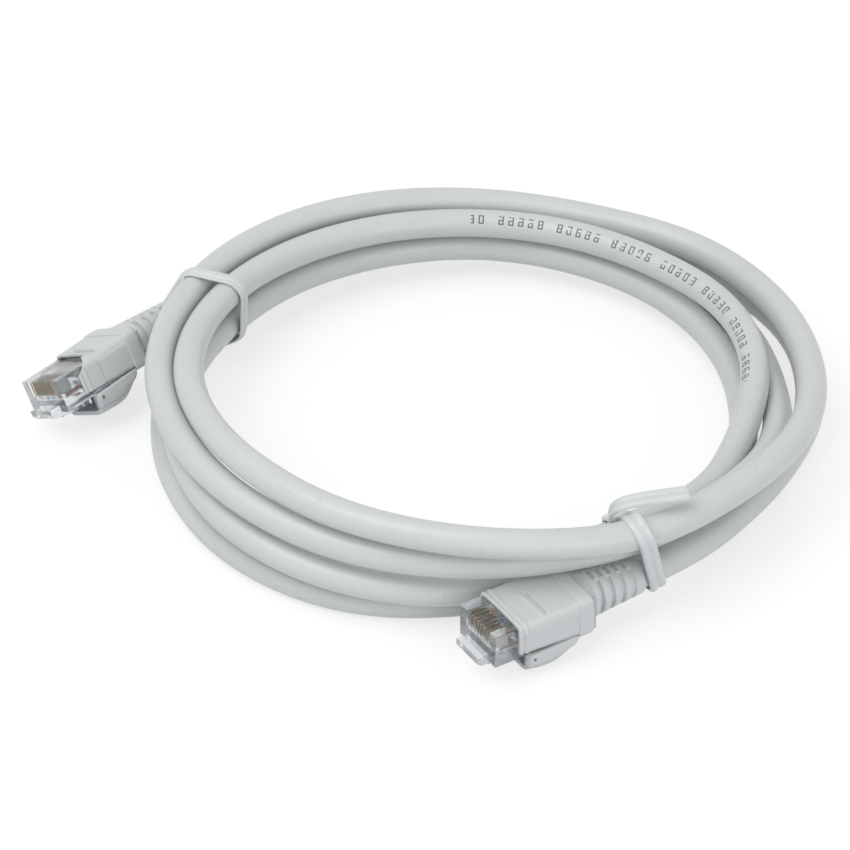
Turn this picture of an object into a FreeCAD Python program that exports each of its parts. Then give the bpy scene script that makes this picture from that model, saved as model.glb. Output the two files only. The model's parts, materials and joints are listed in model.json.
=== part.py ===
# Coiled network patch cable: a round jacket wound in a loose ring, held by two ties, with an
# eight-contact clear plug and a moulded boot at each end. Millimetres, floor at z = 0, +Z up.
import FreeCAD, Part
import math
import os

from FreeCAD import Placement, Rotation, Vector

doc = FreeCAD.newDocument("PatchCable")

# Driving dimensions

SIZES = {
    # how far a cutting tool reaches past what it cuts
    "overrun": 1.0,
    # cable
    "cable_diameter": 5.8,
    # where the ring of turns lies, and how far its ties lift it off the floor
    "ring_centre_across": 10.9,
    "ring_centre_away": 8.0,
    "ring_lift": 1.0,
    # clear plug housing
    "housing_width": 11.68,
    "housing_height": 6.6,
    "housing_length": 21.5,
    "front_wall": 1.4,
    "nose_width": 6.8,
    "nose_reach": 2.35,
    "nose_drop": 0.6,
    "nose_height": 2.0,
    "nose_chamfer": 0.8,
    # wires and contacts
    "contact_pitch": 1.016,
    "contact_thickness": 0.35,
    "contact_length": 2.8,
    "contact_setback": 0.6,
    "contact_recess": 0.5,
    "contact_seat": 0.02,
    "slot_side_clearance": 0.09,
    "wire_diameter": 0.9,
    "wire_height": 2.8,
    "wire_clearance": 0.05,
    # wire guide in the housing
    "guide_front": 5.4,
    "guide_length": 4.2,
    "guide_edge": 0.4,
    "guide_height": 2.4,
    "fit_clearance": 0.1,
    # pressed jacket end and its clamp bar
    "jacket_setback": 1.4,
    "flat_width": 8.4,
    "flat_height": 4.0,
    "flat_rounding": 1.8,
    "clamp_setback": 6.5,
    "clamp_length": 2.5,
    "clamp_width": 7.0,
    # latch
    "latch_width": 6.0,
    "latch_tab_width": 3.25,
    "latch_thickness": 0.9,
    "latch_shoulder": 7.2,
    "latch_setback": 4.2,
    "latch_slope": 5.0,
    "latch_gap": 0.25,
    # boot
    "boot_front": 4.7,
    "boot_wall": 0.7,
    "boot_top_wall": 0.5,
    "boot_side_opening": 1.0,
    "collar_setback": 4.1,
    "collar_length": 3.0,
    "collar_proud": 0.25,
    "collar_drop": 0.35,
    "chamfer_length": 2.2,
    "relief_length": 11.4,
    "relief_start_wall": 1.6,
    "relief_end_wall": 0.7,
    "relief_slot_front": 1.0,
    "relief_slot_width": 1.1,
    "relief_slot_pitch": 2.4,
    "relief_spine": 2.6,
    "bore_clearance": 0.1,
    "groove_width": 0.4,
    "groove_depth": 0.2,
    "front_ridge": 1.0,
    "thumb_slot_front": 10.4,
    "thumb_slot_length": 1.0,
    "thumb_slot_depth": 0.3,
    "thumb_slot_inset": 0.34,
    "thumb_ridge": 0.7,
    # opening torn back in the left boot's upper front edge
    "window_side": 3.4,
    "window_back": 9.8,
    "window_depth": 1.2,
    # hood over the latch
    "hood_inset": 0.44,
    "hood_wall": 0.8,
    "hood_front": 7.0,
    "hood_drop": 3.8,
    "hood_bend_length": 2.6,
    "hood_bend_rise": 1.2,
    "hood_root_height": 1.2,
    "hood_root_length": 4.8,
    "hood_rim_setback": 1.8,
    "hood_lip_height": 2.4,
    "hood_gap": 0.25,
    "hood_top_gap": 0.35,
    # ties
    "tie_clearance": 0.25,
    "tie_thickness": 0.55,
    "tie_rib_height": 0.2,
    "right_tie_angle": 295.7,
    "right_tie_lean": 22.0,
    "right_tie_width": 4.0,
    "right_tie_rib_width": 1.5,
    "tie_middle_height": 12.0,
    "tie_sweep": 14.0,
    "ring_reach": 90.0,
    "tie_end_angle": 290.5,
    "tie_end_reach": 66.5,
    "tie_end_height": 25.0,
    "tie_end_length": 13.0,
    "tie_end_azimuth": 8.0,
    "tie_end_rise": 6.0,
    "left_tie_angle": 160.0,
    "left_tie_lean": 0.0,
    "left_tie_width": 2.4,
    "left_tie_rib_width": 0.8,
}

# Sizes that follow from the driving ones, as the sheet's own formulas

FOLLOWING = {
    "guide_width": "=7 * contact_pitch + wire_diameter + 2 * guide_edge",
    "jacket_front": "=guide_front + guide_length + jacket_setback",
    "clamp_front": "=housing_length - clamp_setback",
    "collar_front": "=housing_length - collar_setback",
    "latch_length": "=collar_front - latch_setback",
    "thumb_slot_width": "=housing_width - 2 * thumb_slot_inset",
    "relief_start_diameter": "=cable_diameter + 2 * relief_start_wall",
    "relief_end_diameter": "=cable_diameter + 2 * relief_end_wall",
    "relief_back": "=collar_front + collar_length + chamfer_length + relief_length",
    "hood_width": "=housing_width - 2 * hood_inset",
    "hood_floor_length": "=collar_front - hood_front - hood_root_length",
    "hood_rim_length": "=collar_front - hood_front - hood_rim_setback",
}

sheet = doc.addObject("Spreadsheet::Sheet", "Sizes")
ALL_SIZES = {**SIZES, **FOLLOWING}
for row, (name, value) in enumerate(ALL_SIZES.items(), start=1):
    sheet.set("A%d" % row, name)
    sheet.set("B%d" % row, str(value))
    sheet.setAlias("B%d" % row, name)
doc.recompute()


def size(name):
    """Value of a driving dimension, read back from the sheet."""
    return float(sheet.get(name))


def expression(text):
    """Turns a formula in plain size names into one that reads the sheet."""
    words = sorted(ALL_SIZES, key=len, reverse=True)
    out, i = "", 0
    while i < len(text):
        for word in words:
            if text.startswith(word, i):
                out += "Sizes." + word
                i += len(word)
                break
        else:
            out += text[i]
            i += 1
    return out


def bind(item, **formulas):
    """Binds properties of an object to formulas in the sheet's names."""
    for prop, formula in formulas.items():
        item.setExpression(prop, expression(formula))
    return item


def at(item, place):
    """Binds the corner or centre of a primitive to three formulas."""
    for axis, formula in zip("xyz", place):
        item.setExpression(".Placement.Base." + axis, expression(str(formula)))
    return item


def block(name, low, high):
    """Box between two corners, each given as three formulas."""
    item = doc.addObject("Part::Box", name)
    spans = ["(%s) - (%s)" % (b, a) for a, b in zip(low, high)]
    bind(item, Length=spans[0], Width=spans[1], Height=spans[2])
    return at(item, low)


def wide_block(name, width, y, z):
    """Box centred across the plug."""
    half = "(%s) / 2" % width
    return block(name, ("-" + half, y[0], z[0]), (half, y[1], z[1]))


def rod(name, diameter, start, length):
    """Cylinder that runs back along the plug from a start point."""
    item = doc.addObject("Part::Cylinder", name)
    item.Placement.Rotation = Rotation(Vector(1, 0, 0), -90)
    bind(item, Radius="(%s) / 2" % diameter, Height=length)
    return at(item, start)


def cut(name, base, *tools):
    """Base less one or more tools."""
    for index, tool in enumerate(tools):
        last = index == len(tools) - 1
        item = doc.addObject("Part::Cut", name if last else "%s_cut_%d" % (name, index))
        item.Base = base
        item.Tool = tool
        base = item
    return base


def fuse(name, *shapes):
    """One solid out of several."""
    item = doc.addObject("Part::MultiFuse", name)
    item.Shapes = list(shapes)
    item.Refine = True
    return item


def free(name, item):
    """Same solid under a placement of its own, which no formula binds."""
    wrap = doc.addObject("Part::Refine", name)
    wrap.Source = item
    return wrap


pieces = []


def keep(item, label, place=None):
    """Marks an object as a finished sub-part and puts it in its place."""
    item.Label = label
    if place is not None:
        item.Placement = place.multiply(item.Placement)
    pieces.append(item)
    return item


def solid(name, shape):
    """Document object that holds a shape made from the sheet's values."""
    item = doc.addObject("Part::Feature", name)
    item.Shape = shape
    return item


# Where the two plugs lie, all chosen by eye from the photograph: the point on the cable's axis
# behind the boot, azimuth of the way back to the cable, rise of that way, roll. The frame's origin
# is the point under the front face's centre

WIRES = ("orange_white", "orange", "green_white", "blue", "blue_white", "green", "brown_white", "brown")

RING = Vector(size("ring_centre_across"), size("ring_centre_away"), 0)


def plug_place(mouth, azimuth, rise, roll):
    """Placement of a plug, given where its cable leaves it, from the ring's centre."""
    turn = Rotation(Vector(0, 0, 1), azimuth - 90)
    lift = Rotation(Vector(1, 0, 0), rise)
    lean = Rotation(Vector(0, 1, 0), roll)
    there = Placement(RING + Vector(*mouth), turn.multiply(lift).multiply(lean))
    return there.multiply(Placement(MOUTH * -1, Rotation()))


JACKET_AXIS = size("housing_height") / 2
MOUTH = Vector(0, size("relief_back") + size("cable_diameter") / 2, JACKET_AXIS)
PLUGS = {
    "front_plug": plug_place((29.69, -59.65, 8.5), 32.0, 0.0, 0.0),
    "left_plug": plug_place((-58.97, 20.96, 10.97), 47.0, 3.0, -27.0),
}

# Plug parts, in the plug's own frame: x across, y from the front face back to the cable,
# z up from the underside of the housing, with the contacts on top and the latch underneath

BACK = "housing_length"
MIDDLE = "housing_height / 2"
SLOT_FLOOR = "wire_height + wire_diameter / 2 + wire_clearance"


def make_housing(plug):
    outer = wide_block(plug + "_body", "housing_width", ("0", BACK), ("0", "housing_height"))
    nose_heights = ("-nose_drop", "nose_height - nose_drop")
    nose = wide_block(plug + "_nose", "nose_width", ("-nose_reach", "0"), nose_heights)
    shell = fuse(plug + "_shell", outer, nose)
    wires = wide_block(
        plug + "_wire_room",
        "contact_pitch * 7 + wire_diameter + 2 * fit_clearance",
        ("front_wall", "guide_front"),
        ("wire_height - wire_diameter / 2 - fit_clearance", SLOT_FLOOR + " + contact_seat"),
    )
    guide = wide_block(
        plug + "_guide_room",
        "guide_width + 2 * fit_clearance",
        ("guide_front - fit_clearance", "jacket_front"),
        ("wire_height - guide_height / 2 - fit_clearance", "wire_height + guide_height / 2 + fit_clearance"),
    )
    jacket = wide_block(
        plug + "_jacket_room",
        "flat_width + 2 * fit_clearance",
        ("jacket_front - 3 * fit_clearance", BACK + " + overrun"),
        (MIDDLE + " - flat_height / 2 - fit_clearance", MIDDLE + " + flat_height / 2 + fit_clearance"),
    )
    clamp = wide_block(
        plug + "_clamp_room",
        "clamp_width + 2 * fit_clearance",
        ("clamp_front - fit_clearance", "clamp_front + clamp_length + fit_clearance"),
        ("-overrun", MIDDLE),
    )
    slots = []
    for index in range(8):
        across = "contact_pitch * (%g)" % (index - 3.5)
        half = "(contact_thickness / 2 + slot_side_clearance)"
        back = "contact_setback + contact_length + fit_clearance"
        slots.append(block(
            "%s_slot_%d" % (plug, index + 1),
            (across + " - " + half, "-overrun", SLOT_FLOOR),
            (across + " + " + half, back, "housing_height + overrun"),
        ))
    rooms = fuse(plug + "_rooms", wires, guide, jacket, clamp, *slots)
    chamfer = doc.addObject("Part::Wedge", plug + "_nose_chamfer")
    half = "nose_width / 2 + overrun"
    bind(chamfer, Xmin="-(%s)" % half, Xmax=half, X2min="-(%s)" % half, X2max=half)
    bind(chamfer, Ymin="-nose_reach - overrun", Ymax="-nose_reach + nose_chamfer")
    bind(chamfer, Zmin="-nose_drop - overrun", Zmax="-nose_drop + nose_chamfer + overrun")
    bind(chamfer, Z2min="-nose_drop - overrun", Z2max="-nose_drop")
    return cut(plug + "_housing", shell, rooms, chamfer)


def make_contact(plug, index):
    across = "contact_pitch * (%g)" % (index - 3.5)
    blade = block(
        "%s_contact_%d_blade" % (plug, index + 1),
        (across + " - contact_thickness / 2", "contact_setback", SLOT_FLOOR + " + contact_seat"),
        (
            across + " + contact_thickness / 2",
            "contact_setback + contact_length",
            "housing_height - contact_recess",
        ),
    )
    return free("%s_contact_%d" % (plug, index + 1), blade)


def make_wire(plug, index):
    start = ("contact_pitch * (%g)" % (index - 3.5), "front_wall + fit_clearance", "wire_height")
    name = "%s_wire_%d_%s" % (plug, index + 1, WIRES[index])
    core = rod(name + "_core", "wire_diameter", start, "jacket_front - front_wall - 2 * fit_clearance")
    return free(name, core)


def make_guide(plug):
    bar = wide_block(
        plug + "_guide_bar",
        "guide_width",
        ("guide_front", "guide_front + guide_length"),
        ("wire_height - guide_height / 2", "wire_height + guide_height / 2"),
    )
    holes = []
    for index in range(8):
        start = ("contact_pitch * (%g)" % (index - 3.5), "guide_front - overrun", "wire_height")
        name = "%s_guide_hole_%d" % (plug, index + 1)
        holes.append(rod(name, "wire_diameter + wire_clearance", start, "guide_length + 2 * overrun"))
    return cut(plug + "_wire_guide", bar, fuse(plug + "_guide_holes", *holes))


def make_clamp(plug):
    bar = wide_block(
        plug + "_clamp_bar",
        "clamp_width",
        ("clamp_front", "clamp_front + clamp_length"),
        ("fit_clearance", MIDDLE + " - flat_height / 2 - fit_clearance"),
    )
    return free(plug + "_cable_clamp", bar)


def make_latch(plug):
    """Springy lever under the housing, made level and tipped down about its root."""
    heights = ("-latch_thickness", "0")
    tab_reach = ("latch_shoulder - overrun", "latch_length")
    arm = wide_block(plug + "_latch_arm", "latch_width", ("0", "latch_shoulder"), heights)
    tab = wide_block(plug + "_latch_tab", "latch_tab_width", tab_reach, heights)
    lever = fuse(plug + "_latch", arm, tab)
    return lever


LATCH_ROOT = Vector(0, size("latch_gap"), -size("latch_gap"))
LATCH_TIP = Placement(LATCH_ROOT, Rotation(Vector(1, 0, 0), -size("latch_slope")))

SHROUD_WIDTH = "(housing_width + 2 * fit_clearance + 2 * boot_wall)"
SHROUD_TOP = "(housing_height + fit_clearance + boot_top_wall)"
COLLAR_BACK = "(collar_front + collar_length)"
RELIEF_FRONT = "(collar_front + collar_length + chamfer_length)"


def make_boot(plug):
    shroud = wide_block(plug + "_shroud", SHROUD_WIDTH, ("boot_front", COLLAR_BACK), ("0", SHROUD_TOP))
    collar = wide_block(
        plug + "_collar",
        SHROUD_WIDTH + " + 2 * collar_proud",
        ("collar_front", COLLAR_BACK),
        ("-collar_drop", SHROUD_TOP + " + collar_proud"),
    )
    rear = doc.addObject("Part::Wedge", plug + "_boot_rear")
    wide = "(%s + 2 * collar_proud) / 2" % SHROUD_WIDTH
    narrow = "relief_start_diameter / 2"
    bind(rear, Xmin="-" + wide, Xmax=wide, X2min="-" + narrow, X2max=narrow)
    bind(rear, Ymin=COLLAR_BACK, Ymax=RELIEF_FRONT)
    bind(rear, Zmin="-collar_drop", Zmax=SHROUD_TOP + " + collar_proud")
    bind(rear, Z2min=MIDDLE + " - relief_start_diameter / 2", Z2max=MIDDLE + " + relief_start_diameter / 2")
    relief = doc.addObject("Part::Cone", plug + "_relief")
    relief.Placement.Rotation = Rotation(Vector(1, 0, 0), -90)
    bind(relief, Radius1="relief_start_diameter / 2", Radius2="relief_end_diameter / 2")
    bind(relief, Height="relief_length + overrun")
    at(relief, ("0", RELIEF_FRONT + " - overrun", MIDDLE))
    ridge = wide_block(
        plug + "_thumb_ridge",
        "thumb_slot_width",
        ("thumb_slot_front + thumb_slot_length", "thumb_slot_front + thumb_slot_length + thumb_ridge"),
        ("housing_height + 2 * fit_clearance", SHROUD_TOP + " + collar_proud"),
    )
    outer = fuse(plug + "_boot_outer", shroud, collar, rear, relief, ridge)
    room = wide_block(
        plug + "_housing_room",
        "housing_width + 2 * fit_clearance",
        ("boot_front - overrun", BACK + " + fit_clearance"),
        ("-fit_clearance", "housing_height + fit_clearance"),
    )
    under = wide_block(
        plug + "_latch_room",
        "housing_width + 2 * fit_clearance",
        ("boot_front - overrun", "collar_front"),
        ("-overrun", "boot_side_opening"),
    )
    bore = rod(
        plug + "_bore",
        "cable_diameter + 2 * bore_clearance",
        ("0", BACK + " - overrun", MIDDLE),
        "relief_back - %s + 2 * overrun" % BACK,
    )
    groove = wide_block(
        plug + "_front_groove",
        SHROUD_WIDTH + " + overrun",
        ("boot_front + front_ridge", "boot_front + front_ridge + groove_width"),
        (SHROUD_TOP + " - groove_depth", SHROUD_TOP + " + overrun"),
    )
    slot = wide_block(
        plug + "_thumb_slot",
        "thumb_slot_width",
        ("thumb_slot_front", "thumb_slot_front + thumb_slot_length"),
        (SHROUD_TOP + " - thumb_slot_depth", SHROUD_TOP + " + overrun"),
    )
    tools = [room, under, bore, groove, slot]
    if plug == "left_plug":
        tools.append(block(
            plug + "_boot_window",
            ("-housing_width", "boot_front - overrun", "housing_height - window_depth"),
            ("window_side", "window_back", SHROUD_TOP + " + overrun"),
        ))
    for index in range(4):
        front = RELIEF_FRONT + " + relief_slot_front + relief_slot_pitch * %d" % index
        reach = "relief_start_diameter"
        sides = (("right", "relief_spine / 2", reach), ("left", "-" + reach, "-relief_spine / 2"))
        for side, low, high in sides:
            tools.append(block(
                "%s_relief_slot_%s_%d" % (plug, side, index + 1),
                (low, front, "%s - %s" % (MIDDLE, reach)),
                (high, front + " + relief_slot_width", "%s + %s" % (MIDDLE, reach)),
            ))
    return cut(plug + "_boot", outer, *tools)


def make_hood(plug):
    """Scoop under the latch, hinged where it grows out of the collar."""
    half = size("hood_width") / 2
    wall = size("hood_wall")
    front = size("hood_front")
    rear = size("collar_front") - size("hood_gap")
    drop = -size("hood_drop")
    top = -size("hood_top_gap")
    bend = front + size("hood_floor_length")
    slope = bend + size("hood_bend_length")
    rise = size("hood_bend_rise")
    root = top - size("hood_root_height")
    outline = [
        (front, drop),
        (bend, drop),
        (slope, drop + rise),
        (rear, root),
        (rear, top),
        (front + size("hood_rim_length"), top),
        (front, drop + size("hood_lip_height")),
    ]
    inside = [
        (front - size("overrun"), drop + wall),
        (bend, drop + wall),
        (slope, drop + wall + rise),
        (rear - wall, root + wall),
        (rear - wall, top + size("overrun")),
        (front - size("overrun"), top + size("overrun")),
    ]

    def prism(points, reach):
        corners = [Vector(-reach, y, z) for y, z in points]
        face = Part.Face(Part.makePolygon(corners + corners[:1]))
        return face.extrude(Vector(2 * reach, 0, 0))

    return solid(plug + "_hood", prism(outline, half).cut(prism(inside, half - wall)))


for plug, place in PLUGS.items():
    keep(make_housing(plug), plug + "_housing", place)
    for index in range(8):
        keep(make_contact(plug, index), "%s_contact_%d" % (plug, index + 1), place)
    for index in range(8):
        wire = make_wire(plug, index)
        keep(wire, wire.Name, place)
    keep(make_guide(plug), plug + "_wire_guide", place)
    keep(make_clamp(plug), plug + "_cable_clamp", place)
    keep(make_latch(plug), plug + "_latch", place.multiply(LATCH_TIP))
    keep(make_boot(plug), plug + "_boot", place)
    keep(make_hood(plug), plug + "_hood", place)

# The turns, clockwise from above: each line holds one turn's (radius, height) at 135, 90, 45, 0,
# 315, 270, 225 and 180 degrees, chosen by hand so that the strands lie as in the photograph

TURNS = (
    ((61.0, 9.8), (58.8, 6.7), (56.5, 4.0), (57.5, 7.8), (62.8, 13.5), (68.0, 15.8), (66.5, 15.9), (61.5, 16.2)),
    ((57.5, 16.0), (56.5, 13.0), (61.6, 10.3), (63.0, 12.2), (67.4, 18.4), (70.0, 22.2), (63.0, 21.8), (54.5, 17.5)),
    ((50.5, 14.5), (49.0, 12.5), (49.5, 12.0), (52.2, 12.1), (55.5, 10.7), (60.9, 9.3), (66.4, 9.5), (58.6, 9.2)),
    ((52.5, 7.6), (50.5, 6.0), (50.0, 4.8), (50.4, 3.8), (54.0, 3.2), (62.0, 3.0), (66.0, 2.95), (62.6, 2.95)),
    ((61.8, 2.95), (65.2, 3.0), (66.4, 3.0), (63.4, 3.0), (63.0, 5.2)),
)
LEAD_IN = (64.5, 9.8)
LEAD_OUT = (74.0, 9.0)
EIGHTH = math.radians(-45)
START = math.radians(135)

LIE = [LEAD_IN] + [spot for turn in TURNS for spot in turn] + [LEAD_OUT]


def ring_point(radius, angle, height):
    """Point of the coil, its height given before the ties lift the ring."""
    return RING + Vector(radius * math.cos(angle), radius * math.sin(angle), height + size("ring_lift"))


def station(number):
    """Point and heading of the coil at an eighth of a turn, numbered from its start."""
    before, (radius, height), after = LIE[number], LIE[number + 1], LIE[number + 2]
    angle = START + number * EIGHTH
    grow = (after[0] - before[0]) / (2 * EIGHTH)
    climb = (after[1] - before[1]) / (2 * EIGHTH)
    heading = -Vector(
        grow * math.cos(angle) - radius * math.sin(angle),
        grow * math.sin(angle) + radius * math.cos(angle),
        climb,
    )
    return ring_point(radius, angle, height), heading.normalize()


def arc_from(start, heading, end):
    """Arc that leaves start along heading and reaches end, with its radius."""
    chord = end - start
    side = chord - heading * chord.dot(heading)
    radius = chord.dot(chord) / (2 * side.Length)
    side = Vector(side).normalize()
    half = math.atan2(chord.dot(side), chord.dot(heading))
    middle = start + (heading * math.sin(half) + side * (1 - math.cos(half))) * radius
    return Part.Arc(start, middle, end), radius


def biarc(start, heading, end, end_heading):
    """Two arcs that join smoothly between two points with given headings."""
    chord = end - start
    both = heading + end_heading
    spread = 2 * (1 - heading.dot(end_heading))
    reach = (-chord.dot(both) + math.sqrt(chord.dot(both) ** 2 + spread * chord.dot(chord))) / spread
    joint = (start + heading * reach + end - end_heading * reach) * 0.5
    first, first_radius = arc_from(start, heading, joint)
    back, second_radius = arc_from(end, end_heading * -1, joint)
    middle = back.value((back.FirstParameter + back.LastParameter) / 2)
    return [first.toShape(), Part.Arc(joint, middle, end).toShape()], [first_radius, second_radius]


def tube(edges, diameter):
    """Solid round tube along a wire of edges."""
    wire = Part.Wire(edges)
    start = edges[0].valueAt(edges[0].FirstParameter)
    heading = edges[0].tangentAt(edges[0].FirstParameter)
    section = Part.Wire([Part.makeCircle(diameter / 2, start, heading)])
    return wire.makePipeShell([section], True, False), wire.Length


def report_tube(name, shape, length, radii):
    wanted = math.pi * size("cable_diameter") ** 2 / 4 * length
    print("%s: length %.0f mm, least radius %.1f mm, volume / (section x length) %.4f"
          % (name, length, min(radii), shape.Volume / wanted))


CABLE = size("cable_diameter")
STATIONS = [station(number) for number in range(len(LIE) - 2)]
start_point, start_heading = STATIONS[0]
end_point, end_heading = STATIONS[-1]
coil_start = start_point - start_heading * CABLE
coil_end = end_point + end_heading * CABLE

coil_edges = [Part.LineSegment(coil_start, start_point).toShape()]
coil_radii = []
for number in range(0, len(STATIONS) - 1, 2):
    edges, radii = biarc(*STATIONS[number], *STATIONS[number + 2])
    coil_edges += edges
    coil_radii += radii
coil_edges.append(Part.LineSegment(end_point, coil_end).toShape())
coil_shape, coil_length = tube(coil_edges, CABLE)
keep(solid("cable_coil", coil_shape), "cable_coil")
report_tube("cable_coil", coil_shape, coil_length, coil_radii)

# Least gap between the coil's own turns, measured on points along its centre line

STEP = 1.5


def walk(edges, step):
    """Points along a chain of edges, each with its distance from the start."""
    points, gone = [], 0.0
    for edge in edges:
        count = max(2, int(edge.Length / step))
        low, high = edge.FirstParameter, edge.LastParameter
        for i in range(count):
            points.append((gone + edge.Length * i / count, edge.valueAt(low + (high - low) * i / count)))
        gone += edge.Length
    return points


coil_points = walk(coil_edges, STEP)
HALF_TURN = 180.0
least, least_a, least_b = min(
    ((a - b).Length, tuple(a), tuple(b))
    for i, (reach, a) in enumerate(coil_points)
    for far, b in coil_points[i + 1:]
    if far - reach > HALF_TURN
)
print("cable_coil: least gap to itself %.2f mm, lowest point %.2f mm, rightmost %.1f, rearmost %.1f"
      % (least - CABLE, min(p.z for _, p in coil_points) - CABLE / 2,
         max(p.x for _, p in coil_points) + CABLE / 2, max(p.y for _, p in coil_points) + CABLE / 2))


def polar(point):
    """Radius, angle and height of a point about the ring's centre."""
    spot = point - RING
    angle = math.degrees(math.atan2(spot.y, spot.x)) % 360
    return [round(v, 1) for v in (math.hypot(spot.x, spot.y), angle, spot.z)]


print("least gap is between", polar(Vector(*least_a)), "and", polar(Vector(*least_b)))


def make_tail(plug, meets, heading):
    """Cable from the coil's end into the boot, with its pressed end in the housing."""
    mouth = PLUGS[plug].multVec(MOUTH)
    seat = PLUGS[plug].multVec(Vector(0, size("housing_length"), JACKET_AXIS))
    inward = Vector(seat - mouth).normalize()
    edges, radii = biarc(meets, heading, mouth, inward)
    print(plug, "coil end", polar(meets), "relief mouth", polar(mouth), "radii", [round(r, 1) for r in radii])
    edges.append(Part.LineSegment(mouth, seat).toShape())
    shape, length = tube(edges, CABLE)
    report_tube(plug + " tail", shape, length, radii)
    flat = Part.makeBox(
        size("flat_width"),
        size("housing_length") - size("jacket_front"),
        size("flat_height"),
        Vector(-size("flat_width") / 2, size("jacket_front"), JACKET_AXIS - size("flat_height") / 2),
    )
    long_edges = [e for e in flat.Edges if abs(e.tangentAt(e.FirstParameter).y) > 0.9]
    flat = flat.makeFillet(size("flat_rounding"), long_edges)
    flat.Placement = PLUGS[plug].multiply(flat.Placement)
    return shape.fuse(flat), edges


front_tail, front_edges = make_tail("front_plug", coil_end, end_heading)
keep(solid("front_cable_tail", front_tail), "front_cable_tail")
left_tail, left_edges = make_tail("left_plug", coil_start, start_heading * -1)
keep(solid("left_cable_tail", left_tail), "left_cable_tail")

# Ties: each is a band of tape drawn tight over the outermost strands. It lies in a plane through
# the ring's centre at an angle, which may lean so that the top of the band is further clockwise

CHAINS = [[point for _, point in walk(edges, STEP)] for edges in (coil_edges, front_edges, left_edges)]


def tie_frame(side):
    """Placement of a tie: x outward, y along the strands, z up the band."""
    lean = Rotation(Vector(1, 0, 0), size(side + "_tie_lean"))
    turn = Rotation(Vector(0, 0, 1), size(side + "_tie_angle")).multiply(lean)
    return Placement(RING + Vector(0, 0, size("tie_middle_height")), turn)


def strands_at(side, offset):
    """Where the cable crosses a tie's plane, or one beside it: (reach, height) of each strand."""
    frame = tie_frame(side)
    outward = frame.Rotation.multVec(Vector(1, 0, 0))
    normal = frame.Rotation.multVec(Vector(0, 1, 0))
    found = []
    for chain in CHAINS:
        for a, b in zip(chain, chain[1:]):
            before, after = [(end - frame.Base).dot(normal) - offset for end in (a, b)]
            if before * after <= 0 and before != after and (a - RING).dot(outward) > 0:
                spot = a + (b - a) * (before / (before - after))
                found.append(((spot - RING).dot(outward), spot.z))
    return found


LEAST_TURN = 0.03


def hull(points):
    """Convex outline of points in a plane, anticlockwise, without its very blunt corners."""
    points = sorted(set(points))

    def half(ordered):
        out = []
        for p in ordered:
            while len(out) > 1:
                (ax, ay), (bx, by) = out[-2], out[-1]
                turn = (bx - ax) * (p[1] - by) - (by - ay) * (p[0] - bx)
                if turn > LEAST_TURN * math.dist(out[-2], out[-1]) * math.dist(out[-1], p):
                    break
                out.pop()
            out.append(p)
        return out

    return half(points)[:-1] + half(points[::-1])[:-1]


def band_face(centres, radius, angle, offset):
    """Face bounded by the tight line round circles of one radius, in an upright plane."""
    outward, across = polar_axes(angle)

    def lift(r, z):
        return RING + outward * r + Vector(0, 0, z) + across * offset

    edges = []
    count = len(centres)
    normals = []
    for i in range(count):
        (ax, ay), (bx, by) = centres[i], centres[(i + 1) % count]
        reach = math.hypot(bx - ax, by - ay)
        normals.append(((by - ay) / reach, -(bx - ax) / reach))
    for i, (x, y) in enumerate(centres):
        (px, py), (qx, qy) = normals[i - 1], normals[i]
        mx, my = px + qx, py + qy
        reach = math.hypot(mx, my)
        first = lift(x + radius * px, y + radius * py)
        middle = lift(x + radius * mx / reach, y + radius * my / reach)
        last = lift(x + radius * qx, y + radius * qy)
        edges.append(Part.Arc(first, middle, last).toShape())
        nx, ny = centres[(i + 1) % count]
        edges.append(Part.LineSegment(last, lift(nx + radius * qx, ny + radius * qy)).toShape())
    return Part.Face(Part.Wire(edges))


def polar_axes(angle):
    """Level unit vectors out from the ring's centre and along its strands, at an angle."""
    outward = Vector(math.cos(angle), math.sin(angle), 0)
    return outward, Vector(0, 0, 1).cross(outward)


def make_band(side, width, thickness, offset):
    """Tape drawn tight round all strands, its middle beside the tie's plane by an offset."""
    angle = math.radians(size(side + "_tie_angle"))
    _, across = polar_axes(angle)
    inner = CABLE / 2 + size("tie_clearance")
    outline = hull(strands_at(side, offset - width / 2) + strands_at(side, offset + width / 2))
    reach = size("tie_sweep")
    outside = band_face(outline, inner + thickness, angle, -reach).extrude(across * 2 * reach)
    inside = band_face(outline, inner, angle, -2 * reach).extrude(across * 4 * reach)
    far = 2 * size("ring_reach")
    slab = Part.makeBox(far, width, far, Vector(0, offset - width / 2, -far / 2))
    slab.Placement = tie_frame(side).multiply(slab.Placement)
    return outside.cut(inside).common(slab)


def make_tie(side, ribs):
    """Tape with raised ribs along it, once round the strands."""
    shapes = [make_band(side, size(side + "_tie_width"), size("tie_thickness"), 0)]
    for offset in ribs:
        high = size("tie_thickness") + size("tie_rib_height")
        shapes.append(make_band(side, size(side + "_tie_rib_width"), high, offset))
    return shapes


def make_tie_end(ribs):
    """Free end of the right tie, which leaves the top of the band and lies over the topmost strand."""
    length, width = size("tie_end_length"), size("right_tie_width")
    end = Part.makeBox(length, width, size("tie_thickness"), Vector(0, -width / 2, 0))
    for offset in ribs:
        rib, high = size("right_tie_rib_width"), size("tie_thickness") + size("tie_rib_height")
        end = end.fuse(Part.makeBox(length, rib, high, Vector(0, offset - rib / 2, 0)))
    turn = Rotation(Vector(0, 0, 1), size("tie_end_azimuth"))
    outward, _ = polar_axes(math.radians(size("tie_end_angle")))
    start = RING + outward * size("tie_end_reach") + Vector(0, 0, size("tie_end_height"))
    end.Placement = Placement(start, turn.multiply(Rotation(Vector(0, 1, 0), -size("tie_end_rise"))))
    return end


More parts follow.
